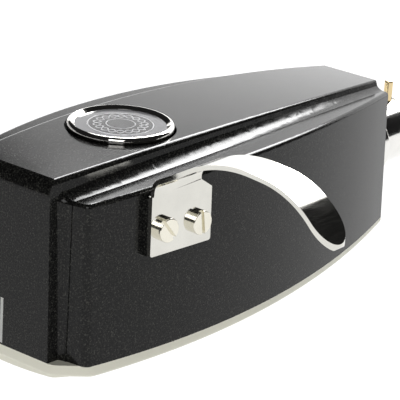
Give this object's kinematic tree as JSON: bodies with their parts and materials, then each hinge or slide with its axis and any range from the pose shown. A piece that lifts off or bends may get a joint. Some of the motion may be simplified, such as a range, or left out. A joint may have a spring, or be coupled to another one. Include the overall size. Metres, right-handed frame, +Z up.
{
  "type": "moving-coil phono cartridge with bayonet headshell",
  "caption": "phono pickup cartridge built into its own headshell, with a bayonet arm plug, a bent finger lift and a sprung stylus cantilever",
  "frame": {"origin": "on the plug's axis at its shoulder, where the arm's socket ends", "axes": "+Y rearward out of the plug, +X toward the finger lift, +Z up; the record lies below in -Z"},
  "size_m": [0.0471, 0.0774, 0.0277],
  "materials": {
    "shell_black": "semi-gloss black moulded resin with a fine speckle",
    "index_paint": "light grey paint in a groove",
    "bezel_chrome": "polished chrome",
    "badge_black": "domed gloss insert with a plain ring ornament",
    "lift_steel": "bright nickel-plated sheet",
    "screw_nickel": "nickel-plated slotted screws",
    "plug_nickel": "nickel-plated turned brass",
    "pin_brass": "turned brass",
    "insulator": "moulded insulator",
    "gold": "gold-plated contacts",
    "cover_cream": "satin cream moulding",
    "frame_black": "moulded black frame",
    "magnet_grey": "ground magnet alloy",
    "pole_iron": "soft iron, bright ground",
    "rubber_black": "soft damping rubber",
    "wire_steel": "drawn wire",
    "armature_white": "moulded coil former",
    "copper": "enamelled copper",
    "cantilever_alloy": "drawn alloy tube",
    "diamond": "cut diamond",
    "strip_brown": "laminate board",
    "white_cover": "white insulation",
    "blue_cover": "blue insulation",
    "green_cover": "green insulation",
    "red_cover": "red insulation"
  },
  "bodies": {
    "cartridge": {"shell": "shell_black", "index_line": "index_paint", "badge_bezel": "bezel_chrome", "badge_disc": "badge_black", "finger_lift": "lift_steel", "lift_screws": "screw_nickel", "plug_sleeve": "plug_nickel", "locating_pin": "pin_brass", "plug_nut": "pin_brass", "plug_insulator": "insulator", "contact_pins": "gold", "bottom_cover": "cover_cream", "cover_screws": "screw_nickel", "magnet": "magnet_grey", "front_pole": "pole_iron", "rear_pole": "pole_iron", "generator_frame": "frame_black", "generator_screws": "screw_nickel", "terminal_strip": "strip_brown", "terminal_pins": "gold", "white_lead": "white_cover", "blue_lead": "blue_cover", "green_lead": "green_cover", "red_lead": "red_cover"},
    "suspension": {"suspension_wire": "wire_steel", "damper": "rubber_black"},
    "cantilever": {"armature": "armature_white", "left_coil": "copper", "right_coil": "copper", "cantilever": "cantilever_alloy", "stylus": "diamond"}
  },
  "joints": [
    {"name": "cantilever_vertical", "type": "hinge", "parent": "cartridge", "child": "suspension", "pos_m": [0, -0.0448, -0.0075], "axis": [1, 0, 0], "range_deg": [-3, 3], "stiffness_Nm_per_rad": 0.0045, "deforming": ["damper"]},
    {"name": "cantilever_lateral", "type": "hinge", "parent": "suspension", "child": "cantilever", "pos_m": [0, -0.0448, -0.0075], "axis": [0, -0.4226, 0.9063], "range_deg": [-3, 3], "stiffness_Nm_per_rad": 0.0045, "deforming": ["damper"]}
  ]
}
